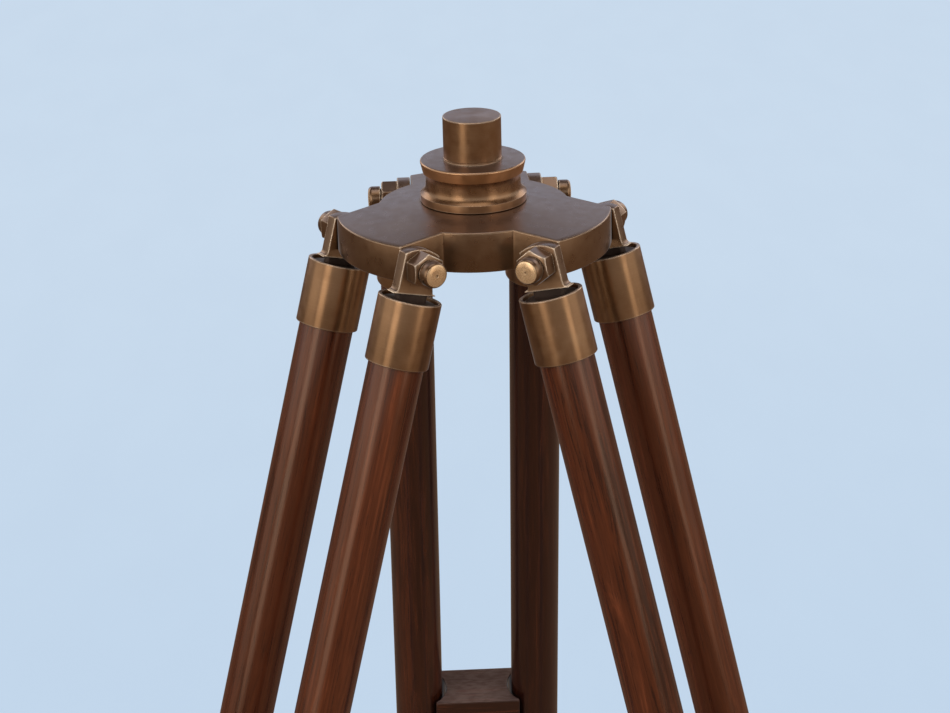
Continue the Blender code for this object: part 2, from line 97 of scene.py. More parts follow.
# Lug details.
EAR_HALF_WIDTH = 9.0 * MM
EAR_FOOT_HALF_WIDTH = 11.2 * MM
EAR_CORNER = 6.0 * MM
EAR_EDGE = 0.4 * MM
EAR_THICKNESS = 6.2 * MM
EAR_FOOT = 12.6 * MM
FOOT_LIP = 0.5 * MM
NECK_HALF_WIDTH = 8.0 * MM
NECK_THICKNESS = 4.6 * MM
PLUG_TOP = 16.2 * MM
STUD_RADIUS = 4.0 * MM
STUD_LENGTH = 18.0 * MM

# Cap nut details.
NUT_FLATS = 14.4 * MM
NUT_THICKNESS = 7.7 * MM
NUT_CHAMFER = 0.9 * MM
GROOVE = 0.55 * MM
DOME_RADIUS = 6.0 * MM
DOME_EDGE = 1.9 * MM
DOME_FACE = 5.2 * MM
NUT_TURN = {"rear": 8.0, "left": -1.0, "right": 11.0}
NUT_BORE_DEPTH = 9.0 * MM

# Wooden parts.
TENON_RADIUS = 9.0 * MM
TENON_LENGTH = 25.0 * MM
SOCKET_DEPTH = 34.0 * MM
BLOCK_EDGE = 0.9 * MM
BLOCK_CLEARANCE = 2.2 * MM

# Brass fittings low on the leg.
BUSH_RADIUS = 7.0 * MM
SCREW_RADIUS = 3.0 * MM
KNOB_STANDOFF = 1.2 * MM
KNURL_COUNT = 54
KNURL_DEPTH = 0.32 * MM
FOOT_RADIUS = 6.0 * MM


# ---------------------------------------------------------------- places


def axes_matrix(origin, x_axis, y_axis, z_axis):
    turn = Matrix((x_axis, y_axis, z_axis)).transposed().to_4x4()
    return Matrix.Translation(origin) @ turn


def lobe_place(leg):
    """Frame on a lobe's pivot: X out from the head, Y along the rod, Z up."""
    fold = JOINTS[f"fold_{leg}"]
    across = Vector(fold["axis"]).normalized()
    up = Vector((0.0, 0.0, 1.0))
    return axes_matrix(Vector(fold["pos_m"]), across.cross(up), across, up)


def leg_place(leg):
    """Frame on a leg's pivot: Y along the rod, and Z back up the leg."""
    fold = JOINTS[f"fold_{leg}"]
    across = Vector(fold["axis"]).normalized()
    up = -Vector(JOINTS[f"slide_{leg}"]["axis"]).normalized()
    return axes_matrix(Vector(fold["pos_m"]), across.cross(up), across, up)


def shifted(x, y, z):
    return Matrix.Translation((x, y, z))


def turn_about(axis, angle):
    return Matrix.Rotation(angle, 4, axis)


def measured(node, place=None):
    """Lowest and highest corner of a CAD node, measured in a local frame."""
    back = (place or Matrix.Identity(4)).inverted()
    points = [back @ vertex.co for vertex in frame["nodes"][node].data.vertices]
    low = Vector([min(point[axis] for point in points) for axis in range(3)])
    high = Vector([max(point[axis] for point in points) for axis in range(3)])
    return low, high


# ---------------------------------------------------------------- shapes


def arc(centre_x, centre_y, radius, start, end, steps):
    """Points along an arc, both ends included."""
    points = []
    for step in range(steps + 1):
        angle = start + (end - start) * step / steps
        points.append((centre_x + radius * math.cos(angle), centre_y + radius * math.sin(angle)))
    return points


def soften(corners, steps=4, closed=False):
    """A path through (x, y, fillet radius) corners, with an arc at each corner that has a radius."""
    count = len(corners)
    path = []
    for index, (x, y, radius) in enumerate(corners):
        at_end = not closed and index in (0, count - 1)
        if radius <= 0.0 or at_end:
            path.append((x, y))
            continue
        here = Vector((x, y))
        back = (Vector(corners[index - 1][:2]) - here).normalized()
        ahead = (Vector(corners[(index + 1) % count][:2]) - here).normalized()
        half = back.angle(ahead) / 2
        start = here + back * (radius / math.tan(half))
        end = here + ahead * (radius / math.tan(half))
        centre = here + (back + ahead).normalized() * (radius / math.sin(half))
        first = math.atan2(start.y - centre.y, start.x - centre.x)
        last = math.atan2(end.y - centre.y, end.x - centre.x)
        sweep = (last - first + math.pi) % (2 * math.pi) - math.pi
        path += arc(centre.x, centre.y, radius, first, first + sweep, steps)
    return path


def mesh_from(form, name):
    bmesh.ops.recalc_face_normals(form, faces=form.faces)
    mesh = bpy.data.meshes.new(name)
    form.to_mesh(mesh)
    form.free()
    return mesh


def skin(rows, name, ring=False):
    """A mesh over rows of points; a row of one point closes that end, and ring joins the ends."""
    form = bmesh.new()
    made = [[form.verts.new(point) for point in row] for row in rows]
    pairs = list(zip(made, made[1:]))
    if ring:
        pairs.append((made[-1], made[0]))
    steps = max(len(row) for row in made)
    for upper, lower in pairs:
        for index in range(steps):
            after = (index + 1) % steps
            corners = [upper[index % len(upper)], lower[index % len(lower)]]
            corners += [lower[after % len(lower)], upper[after % len(upper)]]
            form.faces.new(list(dict.fromkeys(corners)))
    return mesh_from(form, name)


def turned(profile, steps, ring=False, flute=None):
    """A solid turned about Z from (radius, height) points; flute shapes the radius by the angle."""
    rows = []
    for radius, height in profile:
        if radius < 0.01 * MM:
            rows.append([(0.0, 0.0, height)])
            continue
        row = []
        for step in range(steps):
            angle = 2 * math.pi * step / steps
            reach = radius + (flute(angle, radius, height) if flute else 0.0)
            row.append((reach * math.cos(angle), reach * math.sin(angle), height))
        rows.append(row)
    return skin(rows, "turned", ring)


def inset(outline, distance):
    """A closed counter-clockwise outline, moved inward by a distance."""
    count = len(outline)
    moved = []
    for index, point in enumerate(outline):
        here = Vector(point)
        before = (here - Vector(outline[index - 1])).normalized()
        after = (Vector(outline[(index + 1) % count]) - here).normalized()
        first = Vector((before.y, -before.x))
        second = Vector((after.y, -after.x))
        mitre = (first + second) / (1.0 + first.dot(second))
        moved.append(tuple(here - mitre * distance))
    return moved


def edge_steps(edge, steps=3):
    """(inset, drop) pairs that round an edge, from the flat face to the wall."""
    pairs = []
    for step in range(steps + 1):
        angle = QUARTER * step / steps
        pairs.append((edge * (1 - math.sin(angle)), edge * (1 - math.cos(angle))))
    return pairs


def prism(outline, bottom, top, edge):
    """An outline given thickness along Z, with rounded top and bottom edges."""
    form = bmesh.new()
    rows = []
    for pull, drop in edge_steps(edge):
        rows.append([(x, y, top - drop) for x, y in inset(outline, pull)])
    for pull, drop in reversed(edge_steps(edge)):
        rows.append([(x, y, bottom + drop) for x, y in inset(outline, pull)])
    made = [[form.verts.new(point) for point in row] for row in rows]
    count = len(outline)
    for upper, lower in zip(made, made[1:]):
        for index in range(count):
            after = (index + 1) % count
            form.faces.new([upper[index], lower[index], lower[after], upper[after]])
    form.faces.new(made[0])
    form.faces.new(list(reversed(made[-1])))
    return mesh_from(form, "prism")


def rod_between(radius, bottom, top, steps=SMALL_STEPS):
    return turned([(0.0, top), (radius, top), (radius, bottom), (0.0, bottom)], steps)


def moved(mesh, matrix):
    mesh.transform(matrix)
    return mesh


def combine(mesh, other, operation):
    """The union, difference or intersection of two meshes."""
    cutter = bpy.data.objects.new("cutter", other)
    worked = bpy.data.objects.new("worked", mesh)
    for obj in (cutter, worked):
        bpy.context.scene.collection.objects.link(obj)
    modifier = worked.modifiers.new("boolean", "BOOLEAN")
    modifier.operation = operation
    modifier.solver = "EXACT"
    modifier.object = cutter
    bpy.context.view_layer.update()
    graph = bpy.context.evaluated_depsgraph_get()
    result = bpy.data.meshes.new_from_object(worked.evaluated_get(graph), depsgraph=graph)
    for obj in (cutter, worked):
        bpy.data.objects.remove(obj, do_unlink=True)
    return result


# ---------------------------------------------------------------- shader nodes


class Shader:
    """A material whose nodes are added one call at a time."""

    def __init__(self, name):
        self.material = bpy.data.materials.new(name)
        self.material.use_nodes = True
        self.tree = self.material.node_tree
        self.surface = self.tree.nodes["Principled BSDF"]
        self.place = self.add("TexCoord").outputs["Object"]

    def add(self, kind, inputs=None, **settings):
        node = self.tree.nodes.new("ShaderNode" + kind)
        for key, value in settings.items():
            setattr(node, key, value)
        for key, value in (inputs or {}).items():
            self.plug(node.inputs[key], value)
        return node

    def plug(self, socket, value):
        if isinstance(value, bpy.types.NodeSocket):
            self.tree.links.new(value, socket)
        else:
            socket.default_value = value

    def rim_glow(self, start, strength, crevice):
        """The pale backdrop mirrored at grazing angles, in the open and seen by the camera only."""
        facing = self.add("LayerWeight", {"Blend": 0.5}).outputs["Facing"]
        amount = self.remap(facing, start, 1.0, 0.0, strength)
        amount = self.maths("MULTIPLY", amount, self.remap(crevice, 0.1, 0.5, 1.0, 0.0))
        return self.maths("MULTIPLY", amount, ray_share(self.tree, "Is Camera Ray"))

    def finish(self, **inputs):
        for key, value in inputs.items():
            self.plug(self.surface.inputs[key.replace("_", " ")], value)
        return self.material

    def maths(self, operation, first, second=0.0, third=0.0):
        inputs = {0: first, 1: second, 2: third}
        return self.add("Math", inputs, operation=operation).outputs[0]

    def remap(self, value, low, high, to_low=0.0, to_high=1.0):
        inputs = {"Value": value, "From Min": low, "From Max": high}
        inputs.update({"To Min": to_low, "To Max": to_high})
        return self.add("MapRange", inputs, interpolation_type="SMOOTHSTEP").outputs[0]

    def mix(self, share, first, second):
        """Colour between two colours."""
        node = self.add("Mix", {0: share}, data_type="RGBA")
        self.plug(node.inputs[6], colour(first))
        self.plug(node.inputs[7], colour(second))
        return node.outputs[2]

    def stretch(self, place, x, y, z):
        return self.add("Mapping", {"Vector": place, "Scale": (x, y, z)}).outputs[0]

    def noise(self, place, scale, detail=3.0, roughness=0.55, distortion=0.0):
        inputs = {"Vector": place, "Scale": scale, "Detail": detail}
        inputs.update({"Roughness": roughness, "Distortion": distortion})
        return self.add("TexNoise", inputs).outputs["Fac"]

    def bump(self, height, distance, strength=1.0, normal=None):
        inputs = {"Height": height, "Distance": distance, "Strength": strength}
        if normal is not None:
            inputs["Normal"] = normal
        return self.add("Bump", inputs).outputs[0]

    def piece_value(self, name):
        """A number that each piece carries as a custom property."""
        node = self.add("Attribute", attribute_type="OBJECT", attribute_name=name)
        return node.outputs["Fac"]

    def own_place(self):
        """Object coordinates moved by the piece's own seed, so that no two pieces look alike."""
        seed = self.piece_value("grain_seed")
        offset = self.add("CombineXYZ", {0: seed, 1: seed, 2: seed}).outputs[0]
        node = self.add("VectorMath", {0: self.place, 1: offset}, operation="ADD")
        return node.outputs[0]

    def near_edge(self, distance):
        """1 on sharp outer edges, falling to 0 within a distance from them."""
        inputs = {"Distance": distance}
        node = self.add("AmbientOcclusion", inputs, inside=True, only_local=True, samples=12)
        return self.maths("SUBTRACT", 1.0, node.outputs["AO"])

    def upward(self):
        """Height part of the surface's direction: 1 facing up, -1 facing down."""
        split = self.add("SeparateXYZ", {0: self.add("NewGeometry").outputs["Normal"]})
        return split.outputs["Z"]

    def in_crevice(self, distance):
        """1 deep in a corner between pieces, 0 in the open."""
        inputs = {"Distance": distance}
        node = self.add("AmbientOcclusion", inputs, samples=10)
        return self.maths("SUBTRACT", 1.0, node.outputs["AO"])


def ray_share(tree, kind):
    return tree.nodes.new("ShaderNodeLightPath").outputs[kind]


def colour(value):
    if isinstance(value, bpy.types.NodeSocket):
        return value
    return (*value, 1.0)


# ---------------------------------------------------------------- materials

BACKDROP = (0.552, 0.687, 0.838)
RIM_TINT = (0.60, 0.57, 0.58)

# Dark, middle and light tone of each metal and of the wood.
PATINA = ((0.226, 0.128, 0.066), (0.268, 0.156, 0.083), (0.345, 0.214, 0.118))
GOLDEN = ((0.246, 0.131, 0.059), (0.342, 0.183, 0.086), (0.430, 0.249, 0.125))
# Collar cove: golden brass a little darker in its dark and middle tones, painted shade under the flange.
SHADED_GOLDEN = ((0.225, 0.120, 0.056), (0.325, 0.176, 0.086), (0.440, 0.262, 0.140))
# Flange rim: golden brass made brighter, a painted highlight.
LIT_GOLDEN = ((0.400, 0.204, 0.086), (0.550, 0.280, 0.124), (0.660, 0.360, 0.172))
# Dome faces: pale polished brass, lightened further as a painted highlight.
BRIGHT = ((0.60, 0.35, 0.17), (0.88, 0.57, 0.30), (1.00, 0.76, 0.46))
# Near-black brass for the plug and neck under each ear: painted shade.
PAINTED_SHADE_TONES = ((0.042, 0.026, 0.018), (0.066, 0.041, 0.029), (0.094, 0.061, 0.043))
STAIN = ((0.020, 0.005, 0.003), (0.068, 0.0155, 0.0055), (0.150, 0.035, 0.012))

# Near-black brown for corners and recesses: grime, and painted shade where parts keep the light off each
# other.
CORNER_SHADE_AND_GRIME = (0.030, 0.017, 0.011)
# Bright worn brass on sharp edges, which also carries a painted highlight where the edges face up.
EDGE_BRASS = (1.000, 0.780, 0.560)
# Pale grey for faces that look up: dust, and a painted sheen of the pale surroundings.
DUST_AND_SHEEN_TINT = (0.34, 0.31, 0.33)
PORE = (0.012, 0.006, 0.005)
# Near-black brown for the wood's corners: grime, and painted shade.
WOOD_CORNER_SHADE_AND_GRIME = (0.012, 0.007, 0.006)
# Pale grey-brown for the wood's upward faces: dust, and a painted sheen.
WOOD_DUST_AND_SHEEN_TINT = (0.145, 0.105, 0.100)


def turning_lines(shader, place):
    """Fine lines left by a lathe, running round Z."""
    split = shader.add("SeparateXYZ", {0: place})
    x, y, z = split.outputs
    radius = shader.maths("SQRT", shader.maths("ADD", shader.maths("MULTIPLY", x, x),
                                               shader.maths("MULTIPLY", y, y)))
    angle = shader.maths("ARCTAN2", y, x)
    inputs = {0: shader.maths("MULTIPLY", radius, 2400.0), 1: shader.maths("MULTIPLY", angle, 0.8)}
    inputs[2] = shader.maths("MULTIPLY", z, 2400.0)
    wound = shader.add("CombineXYZ", inputs).outputs[0]
    return shader.noise(wound, 1.0, detail=4.0, roughness=0.65)


def brushing_lines(shader, place):
    """Fine straight polishing lines along X."""
    return shader.noise(shader.stretch(place, 45.0, 1900.0, 1900.0), 1.0, detail=4.0)


def brass_material(name, lines, tones, roughness, metal, corner, dust_and_sheen_amount, anisotropy):
    """Antique brass: brown patina in patches, polishing lines, bright worn edges with a painted
    highlight on those facing up, grime and painted shade in crevices, dust and a painted sheen on faces
    that look up.
    """
    shader = Shader(name)
    place = shader.own_place()
    patches = shader.noise(place, 34.0, detail=2.5, roughness=0.5, distortion=0.3)
    mottle = shader.noise(place, 240.0, detail=3.0, roughness=0.5)
    waves = shader.noise(place, 30.0, detail=1.0)
    specks = shader.noise(place, 1500.0, detail=2.0)
    scored = lines(shader, shader.place)

    tone = shader.maths("ADD", shader.maths("MULTIPLY", patches, 0.74),
                        shader.maths("MULTIPLY", mottle, 0.26))
    dark, mid, light = tones
    base = shader.mix(shader.remap(tone, 0.26, 0.58), dark, mid)
    base = shader.mix(shader.remap(tone, 0.48, 0.80), base, light)
    streak = shader.remap(scored, 0.40, 0.75, 0.0, 0.22)
    base = shader.mix(streak, base, light)

    broken = shader.remap(mottle, 0.30, 0.62, 0.85, 1.0)
    # Bright worn edges; the factor on upward dims those facing down, so the ones facing up carry a
    # painted highlight.
    edge = shader.remap(shader.near_edge(1.0 * MM), 0.11, 0.34)
    edge = shader.maths("MULTIPLY", edge, broken)
    upward = shader.upward()
    edge = shader.maths("MULTIPLY", edge, shader.remap(upward, -0.30, 0.30, 0.10, 1.0))
    base = shader.mix(edge, base, EDGE_BRASS)
    # Painted shade and grime: the ambient-occlusion mask darkens corners and recesses within the corner
    # reach.
    crevice = shader.in_crevice(corner)
    shade_and_grime = shader.remap(crevice, 0.20, 0.80, 0.0, 0.7)
    base = shader.mix(shade_and_grime, base, CORNER_SHADE_AND_GRIME)
    # Dust and a painted sheen: faces that look up, away from corners, are greyed towards the pale
    # surroundings.
    dust_and_sheen = shader.maths("MULTIPLY", shader.remap(upward, 0.60, 0.95, 0.0, dust_and_sheen_amount),
                        shader.remap(crevice, 0.05, 0.40, 1.0, 0.0))
    base = shader.mix(dust_and_sheen, base, DUST_AND_SHEEN_TINT)

    rough = shader.remap(mottle, 0.3, 0.7, roughness - 0.03, roughness + 0.06)
    rough = shader.maths("ADD", rough, shader.maths("MULTIPLY", edge, 0.10))
    metallic = shader.maths("MULTIPLY_ADD", edge, -0.55, metal)
    normal = shader.bump(scored, 0.005 * MM, 0.6)
    normal = shader.bump(waves, 0.060 * MM, 0.5, normal)
    normal = shader.bump(specks, 0.002 * MM, 0.3, normal)
    if anisotropy:
        tangent = shader.add("Tangent", direction_type="RADIAL", axis="Z").outputs[0]
        shader.finish(Anisotropic=anisotropy, Anisotropic_Rotation=0.25, Tangent=tangent)
    return shader.finish(Base_Color=base, Metallic=metallic, Roughness=rough, Normal=normal,
                         Specular_Tint=(0.85, 0.85, 0.90, 1.0), Emission_Color=colour(RIM_TINT),
                         Emission_Strength=shader.rim_glow(0.80, 0.24, crevice))


def wood_material(name, along, stain, varnish, dust_and_sheen_amount):
    """Stained hardwood: long streaks, fine pores and a satin varnish; along is the grain's axis."""
    shader = Shader(name)
    place = shader.own_place()
    dark, mid, light = stain

    def stretched(fine, coarse):
        scales = [fine, fine, fine]
        scales["XYZ".index(along)] = coarse
        return shader.stretch(place, *scales)

    broad = shader.noise(stretched(70.0, 3.2), 1.0, detail=3.0, distortion=0.7)
    figure = shader.noise(stretched(300.0, 7.0), 1.0, detail=6.0, roughness=0.72, distortion=0.6)
    flame = shader.noise(stretched(230.0, 17.0), 1.0, detail=5.0, roughness=0.6, distortion=1.6)
    pores = shader.noise(stretched(2300.0, 55.0), 1.0, detail=3.0, roughness=0.7)

    grain = shader.maths("MULTIPLY_ADD", broad, 0.28, shader.maths("MULTIPLY", figure, 0.36))
    grain = shader.maths("MULTIPLY_ADD", flame, 0.36, grain)
    grain = shader.maths("SUBTRACT", grain, 0.5)
    middle = shader.maths("ADD", shader.piece_value("tone"), 0.5)
    grain = shader.maths("MULTIPLY_ADD", grain, shader.piece_value("figure"), middle)
    base = shader.mix(shader.remap(grain, 0.34, 0.54), dark, mid)
    base = shader.mix(shader.remap(grain, 0.52, 0.76), base, light)
    pore = shader.remap(pores, 0.56, 0.70, 0.0, 0.75)
    base = shader.mix(pore, base, PORE)
    # Painted highlight: sharp edges are lightened towards the light stain tone.
    edge = shader.remap(shader.near_edge(1.2 * MM), 0.2, 0.5, 0.0, 0.55)
    base = shader.mix(edge, base, light)
    # Painted shade and grime: corners and recesses within 9 mm are darkened towards a near-black brown.
    crevice = shader.in_crevice(9 * MM)
    shade_and_grime = shader.remap(crevice, 0.4, 0.95, 0.0, 0.7)
    base = shader.mix(shade_and_grime, base, WOOD_CORNER_SHADE_AND_GRIME)
    # Dust and a painted sheen: faces that look up are greyed in patches.
    worn = shader.remap(shader.noise(stretched(640.0, 170.0), 1.0, detail=4.0), 0.35, 0.65, 0.65, 1.12)
    dust_and_sheen = shader.maths("MULTIPLY", shader.remap(shader.upward(), 0.6, 0.9, 0.0, dust_and_sheen_amount), worn)
    base = shader.mix(dust_and_sheen, base, WOOD_DUST_AND_SHEEN_TINT)

    rough = shader.remap(figure, 0.3, 0.7, 0.17, 0.27)
    normal = shader.bump(pores, 0.05 * MM, 0.55)
    normal = shader.bump(flame, 0.08 * MM, 0.5, normal)
    coat_normal = shader.bump(figure, 0.06 * MM, 0.5)
    return shader.finish(Base_Color=base, Roughness=rough, Normal=normal, Coat_Weight=varnish,
                         Coat_Roughness=0.14, Coat_Normal=coat_normal, Specular_IOR_Level=0.8,
                         Specular_Tint=(1.0, 0.60, 0.38, 1.0), Emission_Color=colour(RIM_TINT),
                         Emission_Strength=shader.rim_glow(0.84, 0.11, crevice))


def make_materials():
    """Every finish by name."""
    finishes = {}
    for name, lines, tones, roughness, metal, corner, dust_and_sheen_amount, anisotropy in BRASS_FINISHES:
        finishes[name] = brass_material(
            name, lines, tones, roughness, metal, corner * MM, dust_and_sheen_amount, anisotropy)
    finishes["pole_wood"] = wood_material("pole_wood", "Z", STAIN, varnish=0.12, dust_and_sheen_amount=0.3)
    finishes["block_wood"] = wood_material("block_wood", "Y", STAIN, varnish=0.5, dust_and_sheen_amount=0.55)
    return finishes


# Name, lines, tones, roughness, metallic, reach of corner grime and painted shade in mm, dust with
# painted sheen, anisotropy.
BRASS_FINISHES = (
    ("turned_brass", turning_lines, GOLDEN, 0.32, 0.95, 5.0, 0.29, 0.78),
    ("post_brass", turning_lines, GOLDEN, 0.33, 0.97, 1.5, 0.34, 0.35),
    # The flange rim's brighter tones are a painted highlight; the cove's long reach of corner darkening
    # is painted shade under the flange.
    ("rim_brass", turning_lines, LIT_GOLDEN, 0.33, 0.97, 1.5, 0.38, 0.35),
    ("cove_brass", turning_lines, SHADED_GOLDEN, 0.27, 0.97, 7.0, 0.10, 0.35),
    ("brushed_brass", brushing_lines, PATINA, 0.30, 0.96, 2.0, 0.34, 0.0),
    # Near-black brass under the ears: painted shade where the ferrule and ear keep the light off.
    ("sooty_brass", turning_lines, PAINTED_SHADE_TONES, 0.55, 0.50, 2.5, 0.0, 0.0),
    # Pale polished brass for the dome faces, lightened further as a painted highlight.
    ("polished_brass", turning_lines, BRIGHT, 0.24, 0.74, 2.5, 0.0, 0.0),
)
MATERIALS = make_materials()


# ---------------------------------------------------------------- pieces


def place_piece(node, mesh, place, body, finishes, tone=0.0, figure=1.2):
    """Puts a fine mesh where its CAD node is, and lets it stand for that node."""
    piece = bpy.data.objects.new(f"{node}_fine", mesh)
    while len(mesh.materials) < len(finishes):
        mesh.materials.append(None)
    for index, finish in enumerate(finishes):
        mesh.materials[index] = MATERIALS[finish]
    mesh.shade_smooth()
    mesh.set_sharp_from_angle(angle=SHARP_ANGLE)
    bpy.context.scene.collection.objects.link(piece)
    piece.matrix_world = place
    piece["grain_seed"] = sum(ord(letter) for letter in node) * 0.137
    piece["tone"] = tone
    piece["figure"] = figure
    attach(piece, body)
    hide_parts(node)


def head_outline(lobe_radius):
    """The three-lobed outline, counter-clockwise, with its corners slightly rounded."""
    lobe_half = math.asin(LOBE_HALF_WIDTH / lobe_radius)
    notch_start = math.asin(LOBE_HALF_WIDTH / NOTCH_RADIUS)
    wall_in = NOTCH_RADIUS * math.cos(notch_start)
    wall_out = lobe_radius * math.cos(lobe_half)
    wall_steps = round((wall_out - wall_in) / OUTLINE_STEP)
    lobe_steps = round(lobe_radius * 2 * lobe_half / OUTLINE_STEP)
    notch_end = math.radians(120.0) - notch_start
    notch_steps = round(NOTCH_RADIUS * (notch_end - notch_start) / OUTLINE_STEP)
    sector = []
    for step in range(1, wall_steps):
        x = wall_in + (wall_out - wall_in) * step / wall_steps
        sector.append((x, -LOBE_HALF_WIDTH, 0.0))
    for index, (x, y) in enumerate(arc(0, 0, lobe_radius, -lobe_half, lobe_half, lobe_steps)):
        sector.append((x, y, HEAD_EDGE if index in (0, lobe_steps) else 0.0))
    for step in range(1, wall_steps):
        x = wall_out - (wall_out - wall_in) * step / wall_steps
        sector.append((x, LOBE_HALF_WIDTH, 0.0))
    notch = arc(0, 0, NOTCH_RADIUS, notch_start, notch_end, notch_steps)
    for index, (x, y) in enumerate(notch):
        sector.append((x, y, HEAD_EDGE if index in (0, notch_steps) else 0.0))
    corners = []
    for turn in range(3):
        heading = math.radians(90.0 + 120.0 * turn)
        cosine, sine = math.cos(heading), math.sin(heading)
        for x, y, radius in sector:
            corners.append((x * cosine - y * sine, x * sine + y * cosine, radius))
    return soften(corners, closed=True)


def head_plate_mesh(bore):
    """The lobed plate: a flat seat under the collar, a top that slopes gently out, a bore."""
    low, high = measured("head_plate")
    lobe_radius, bottom = high.y, low.z
    cone_rim = high.z - BOSS_RISE
    outline = head_outline(lobe_radius)

    def cone_z(x, y):
        return cone_rim - HEAD_SLOPE * (math.hypot(x, y) - BOSS_RADIUS)

    def circle(radius, height):
        row = []
        for x, y in outline:
            reach = radius / math.hypot(x, y)
            row.append((x * reach, y * reach, height))
        return row

    rows = [circle(bore, cone_rim), circle(BOSS_RADIUS, cone_rim)]
    top_edge = inset(outline, HEAD_EDGE)
    for share in (0.2, 0.4, 0.6, 0.8, 0.95):
        row = []
        for x, y in top_edge:
            radius = BOSS_RADIUS + (math.hypot(x, y) - BOSS_RADIUS) * share
            reach = radius / math.hypot(x, y)
            row.append((x * reach, y * reach, cone_z(x * reach, y * reach)))
        rows.append(row)
    for pull, drop in edge_steps(HEAD_EDGE):
        rows.append([(x, y, cone_z(x, y) - drop) for x, y in inset(outline, pull)])
    for pull, drop in reversed(edge_steps(HEAD_EDGE)):
        rows.append([(x, y, bottom + drop) for x, y in inset(outline, pull)])
    rows.append(circle(bore, bottom))
    return skin(rows, "head_plate", ring=True)


def build_head():
    spigot_end = measured("spigot")[0].z
    collar_high = measured("collar")[1]
    bore = SHANK_RADIUS + GAP
    head = head_plate_mesh(bore)
    for leg in LEGS:
        rod_radius = measured(f"{leg}_pivot_rod", lobe_place(leg))[1].x
        hole = rod_between(rod_radius + GAP, -LOBE_HALF_WIDTH - MM, LOBE_HALF_WIDTH + MM)
        head = combine(head, moved(hole, lobe_place(leg) @ turn_about("X", QUARTER)), "DIFFERENCE")
    identity = Matrix.Identity(4)
    place_piece("head_plate", head, identity, "head", ["brushed_brass"])

    seat = measured("head_plate")[1].z - BOSS_RISE + SNUG
    collar = collar_mesh(collar_high.x, seat, collar_high.z, bore)
    finishes = ["rim_brass", "cove_brass", "post_brass", "brushed_brass"]
    place_piece("collar", collar, identity, "head", finishes)
    spigot = spigot_mesh(SPIGOT_RADIUS, collar_high.z + SNUG, spigot_end)
    place_piece("spigot", spigot, identity, "head", ["post_brass"])

    washer_low, washer_high = measured("shank_washer")
    edge = 0.4 * MM
    profile = soften([(bore, washer_high.z, edge), (washer_high.x, washer_high.z, edge),
                      (washer_high.x, washer_low.z, edge), (bore, washer_low.z, edge)], closed=True)
    washer = turned(profile, POLE_STEPS, ring=True)
    place_piece("shank_washer", washer, identity, "head", ["turned_brass"])
    nut_low, nut_high = measured("shank_nut")
    nut = hexagon_nut(nut_high.y - nut_low.y, nut_low.z, nut_high.z, NUT_CHAMFER)
    nut = combine(nut, rod_between(bore, nut_low.z - MM, nut_high.z + MM), "DIFFERENCE")
    place_piece("shank_nut", nut, identity, "head", ["turned_brass"])


def collar_mesh(radius, bottom, top, bore):
    """Flange, hollow waist and lower ring."""
    under = top - FLANGE_THICKNESS
    ring_top = bottom + RING_HEIGHT
    waist = radius - WAIST_DEPTH
    rim = [(bore, top, 0.3 * MM), (radius, top, 0.8 * MM)]
    rim.append((radius - FLANGE_TAPER, under, 0.35 * MM))
    rim.append((waist + UNDERCUT, under - 0.2 * MM, 0.0))
    profile = soften(rim, steps=5)
    steps = 20
    for step in range(1, steps):
        share = step / steps
        above = max(1.0 - share / WAIST_PLACE, 0.0)
        below = max(share - WAIST_PLACE, 0.0) / (1.0 - WAIST_PLACE)
        reach = waist + UNDERCUT * above**2 + (WAIST_DEPTH - 0.2 * MM) * below**WAIST_FLARE
        profile.append((reach, under - 0.2 * MM + (ring_top - under + 0.2 * MM) * share))
    ring = [(radius - 0.2 * MM, ring_top, 0.0), (radius, ring_top - 0.2 * MM, 0.12 * MM)]
    ring += [(radius, bottom, 0.25 * MM), (bore, bottom, 0.0)]
    profile += soften(ring, steps=4)
    collar = turned(profile, HEAD_STEPS, ring=True)
    # The flange's side takes brighter brass, a painted highlight, and its flat top the head's brushed
    # brass; the cove takes darker brass, painted shade under the flange; the ring below takes post
    # brass.
    for face in collar.polygons:
        height = face.center.z
        if height > under - 0.1 * MM:
            face.material_index = 3 if face.normal.z > 0.95 else 0
        else:
            face.material_index = 1 if height > ring_top else 2
    return collar


def spigot_mesh(radius, shoulder, end):
    """The post, a fine groove round its foot, and the shank below."""
    corners = [(0.0, 0.0, 0.0), (radius, 0.0, 0.45 * MM)]
    groove = shoulder + FOOT_RING_HEIGHT
    corners.append((radius, groove + FOOT_GROOVE, 0.0))
    corners += [(radius - FOOT_GROOVE, groove, 0.0), (radius, groove - FOOT_GROOVE, 0.0)]
    corners.append((radius, shoulder, 0.0))
    corners += [(SHANK_RADIUS, shoulder, 0.0), (SHANK_RADIUS, end + 0.5 * MM, 0.0)]
    corners += [(SHANK_RADIUS - 0.5 * MM, end, 0.0), (0.0, end, 0.0)]
    return turned(soften(corners, steps=5), HEAD_STEPS)


def hexagon_nut(flats, bottom, top, lower_drop):
    """A hexagonal prism with the corners of its faces turned down, the lower ones by lower_drop."""
    corner = flats / 2 / math.cos(math.radians(30.0))
    outline = []
    for step in range(6):
        angle = math.radians(60.0 * step)
        outline.append((corner * math.cos(angle), corner * math.sin(angle), 0.35 * MM))
    nut = prism(soften(outline, closed=True), bottom, top, 0.15 * MM)
    beyond = corner + 0.3 * MM
    flat, skim = flats / 2 - 0.1 * MM, 0.01 * MM
    profile = [(0.0, top + skim), (flat, top + skim), (beyond, top - NUT_CHAMFER)]
    profile += [(beyond, bottom + lower_drop), (flat, bottom - skim), (0.0, bottom - skim)]
    return combine(nut, turned(profile, POLE_STEPS), "INTERSECT")


